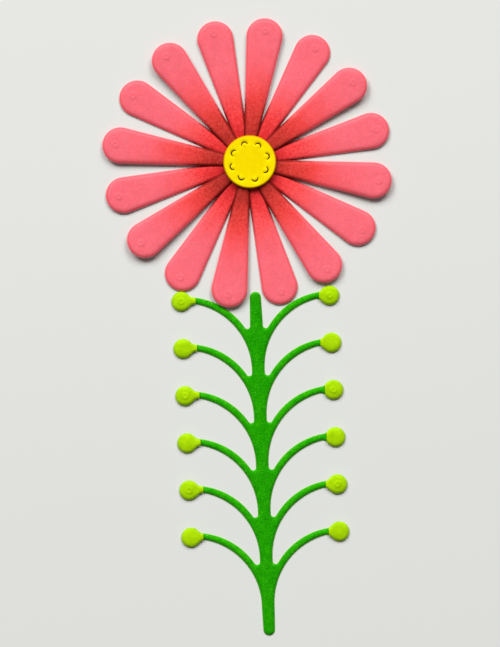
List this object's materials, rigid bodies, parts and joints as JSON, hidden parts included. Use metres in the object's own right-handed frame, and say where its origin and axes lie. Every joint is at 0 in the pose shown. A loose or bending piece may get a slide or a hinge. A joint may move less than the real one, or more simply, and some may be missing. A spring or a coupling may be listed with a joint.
{
  "type": "paper flower",
  "caption": "Flat die-cut card flower: two turned layers of coral petals, a yellow disc with cut crescents, and a branched green stem with lime buds.",
  "frame": {"origin": "on the flat back of the flower, under the middle of the two petal layers", "axes": "+Z out of the front face of the card, +Y up along the stem towards the head, +X to the right as seen from the front"},
  "size_m": [0.062, 0.1331, 0.0021],
  "materials": {
    "coral_card": "matt card, shaded red towards the middle",
    "inked_coral_card": "matt card, inked dark red towards the middle",
    "yellow_card": "smooth matt card",
    "green_card": "matt card, slightly mottled",
    "lime_card": "matt card"
  },
  "bodies": {
    "root": {"petal_layer_lower": "coral_card", "petal_layer_upper": "inked_coral_card", "centre_disc": "yellow_card", "stem": "green_card", "bud_left_1": "lime_card", "bud_left_2": "lime_card", "bud_left_3": "lime_card", "bud_left_4": "lime_card", "bud_left_5": "lime_card", "bud_left_6": "lime_card", "bud_right_1": "lime_card", "bud_right_2": "lime_card", "bud_right_3": "lime_card", "bud_right_4": "lime_card", "bud_right_5": "lime_card", "bud_right_6": "lime_card"}
  },
  "joints": []
}
